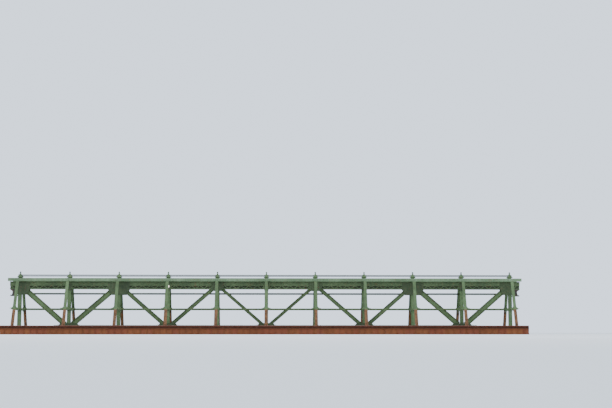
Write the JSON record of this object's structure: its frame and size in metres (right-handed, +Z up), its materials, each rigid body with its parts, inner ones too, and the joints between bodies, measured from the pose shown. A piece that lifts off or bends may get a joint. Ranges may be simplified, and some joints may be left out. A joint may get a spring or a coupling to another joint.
{
  "type": "suspension railway girder span",
  "caption": "Riveted steel girder span of an overhead suspension railway: centre truss, spread cross frames, and a rail girder with its rail on each side.",
  "frame": {"origin": "middle of the span, centred between the rail girders, at the height of the rail girders' undersides", "axes": "+X along the span to the right, +Y away from the street side in the picture, +Z up"},
  "size_m": [31.2, 4.8, 3.817],
  "materials": {
    "green_paint": "weathered light green paint",
    "shade_green": "weathered darker green paint",
    "rust_brown": "paint covered with brown iron dust",
    "rail_steel": "dark rusty rail steel, worn bright on the running surface",
    "lamp_glass": "opal lamp cover",
    "bearing_iron": "dark greased cast steel"
  },
  "bodies": {
    "span": {"rail_girder_near": "rust_brown", "rail_near": "rail_steel", "upper_edge_near": "green_paint", "side_longitudinal_near": "green_paint", "rail_girder_far": "rust_brown", "rail_far": "rail_steel", "upper_edge_far": "green_paint", "side_longitudinal_far": "green_paint", "upper_chord": "shade_green", "lower_chord": "shade_green", "centre_longitudinal": "shade_green", "upper_struts": "green_paint", "upper_brace_1": "green_paint", "upper_brace_2": "green_paint", "upper_brace_3": "green_paint", "upper_brace_4": "green_paint", "upper_brace_5": "green_paint", "upper_brace_6": "green_paint", "upper_brace_7": "green_paint", "upper_brace_8": "green_paint", "upper_brace_9": "green_paint", "upper_brace_10": "green_paint", "lower_brace_1": "shade_green", "lower_brace_2": "shade_green", "lower_brace_3": "shade_green", "lower_brace_4": "shade_green", "lower_brace_5": "shade_green", "lower_brace_6": "shade_green", "lower_brace_7": "shade_green", "lower_brace_8": "shade_green", "lower_brace_9": "shade_green", "lower_brace_10": "shade_green", "cross_frame_l5": "green_paint", "cross_frame_l4": "green_paint", "cross_frame_l3": "green_paint", "cross_frame_l2": "green_paint", "cross_frame_l1": "green_paint", "cross_frame_mid": "green_paint", "cross_frame_r1": "green_paint", "cross_frame_r2": "green_paint", "cross_frame_r3": "green_paint", "cross_frame_r4": "green_paint", "cross_frame_r5": "green_paint", "diagonal_l5": "green_paint", "diagonal_l4": "green_paint", "diagonal_l3": "green_paint", "diagonal_l2": "green_paint", "diagonal_l1": "green_paint", "diagonal_r1": "green_paint", "diagonal_r2": "green_paint", "diagonal_r3": "green_paint", "diagonal_r4": "green_paint", "diagonal_r5": "green_paint", "lamp": "lamp_glass", "bearing_shoe_left": "bearing_iron", "bearing_shoe_right": "bearing_iron"},
    "rocker_left": {"bearing_rocker_left": "bearing_iron"},
    "rocker_right": {"bearing_rocker_right": "bearing_iron"}
  },
  "joints": [
    {"name": "rocker_left_hinge", "type": "hinge", "parent": "span", "child": "rocker_left", "pos_m": [-15.35, 0, 2.56], "axis": [0, 1, 0], "range_deg": [-3, 3]},
    {"name": "rocker_right_hinge", "type": "hinge", "parent": "span", "child": "rocker_right", "pos_m": [15.35, 0, 2.56], "axis": [0, 1, 0], "range_deg": [-3, 3]}
  ]
}
